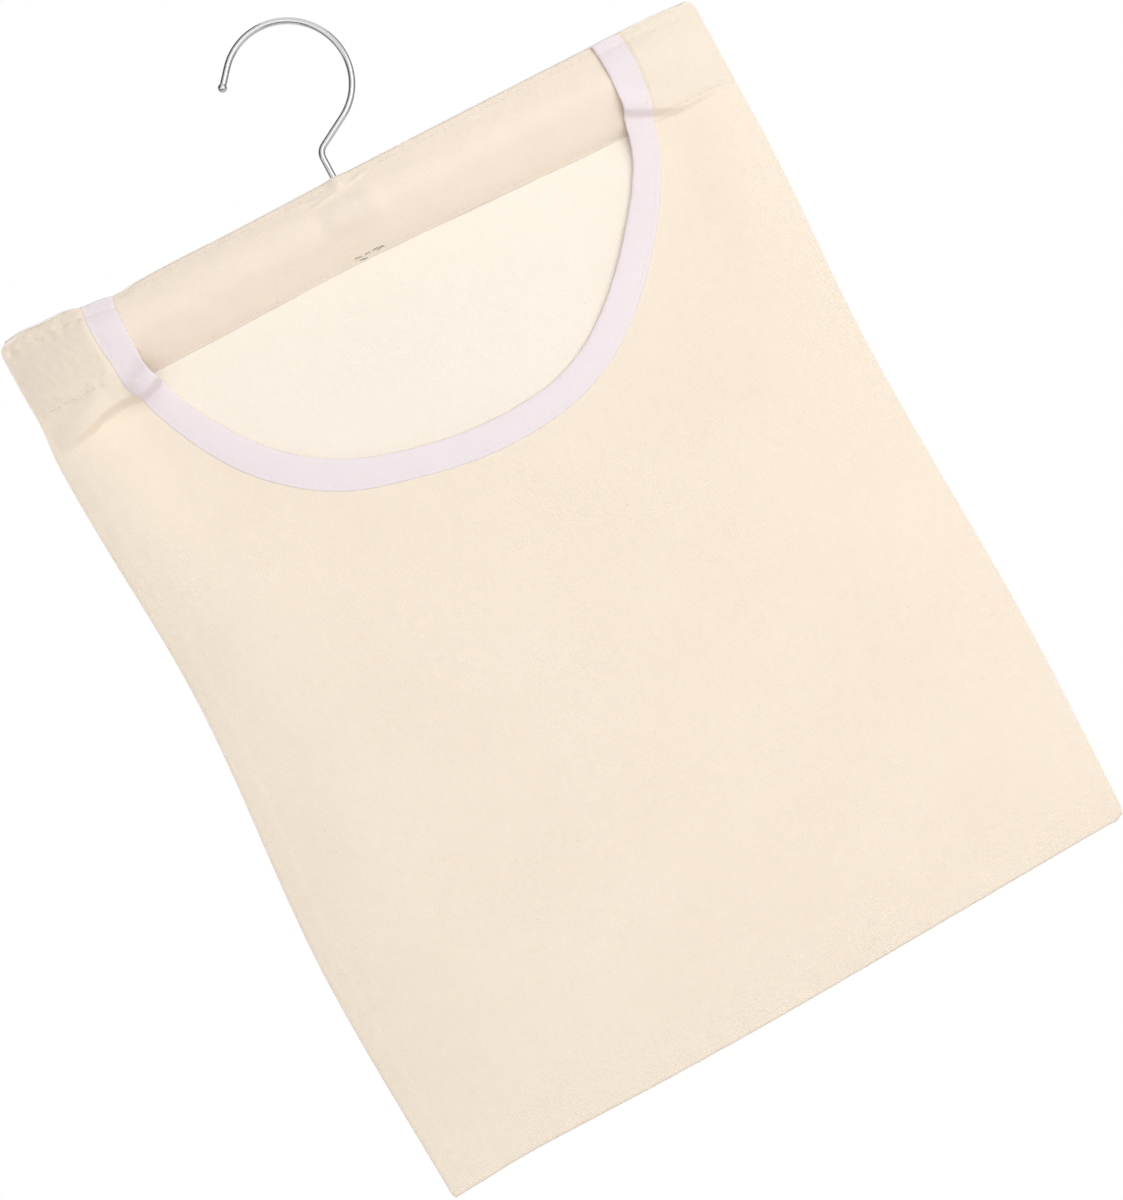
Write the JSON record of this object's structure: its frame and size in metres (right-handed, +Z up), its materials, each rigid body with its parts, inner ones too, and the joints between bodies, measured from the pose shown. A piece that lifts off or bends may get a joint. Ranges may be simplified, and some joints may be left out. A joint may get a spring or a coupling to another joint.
{
  "type": "peg bag",
  "caption": "Flat calico bag with a scooped, tape-bound mouth, a wooden bar in a sewn sleeve across the top and a turning wire hook for the clothes line.",
  "frame": {"origin": "inside of the hook's crown, the point that rests on the clothes line, on the axis of the hook's shank", "axes": "+Z up, +X to the right seen from the front, -Y out of the bag's front, where the mouth is"},
  "size_m": [0.31, 0.0183, 0.4469],
  "materials": {
    "plated_wire": "bright plated steel wire",
    "zinc_plate": "dull zinc-plated steel",
    "wood": "plain sanded softwood",
    "calico": "unbleached plain-weave cotton",
    "binding_tape": "white bias binding",
    "thread": "cream sewing thread",
    "dark_thread": "dark grey sewing thread"
  },
  "bodies": {
    "hook": {"hook": "plated_wire", "hook_washer": "zinc_plate"},
    "bag": {"hook_saddle": "zinc_plate", "hanger_bar": "wood", "back_panel": "calico", "bar_casing": "calico", "front_panel": "calico", "mouth_binding": "binding_tape", "left_seam": "calico", "right_seam": "calico", "bottom_seam": "calico", "binding_stitching": "thread", "top_stitching_left": "thread", "top_stitching_right": "thread", "casing_stitching": "thread", "corner_stitching_left": "thread", "corner_stitching_right": "thread", "hook_tack": "dark_thread"}
  },
  "joints": [
    {"name": "hook_swivel", "type": "hinge", "parent": "hook", "child": "bag", "pos_m": [0, 0, -0.0806], "axis": [0, 0, 1], "continuous": true}
  ]
}
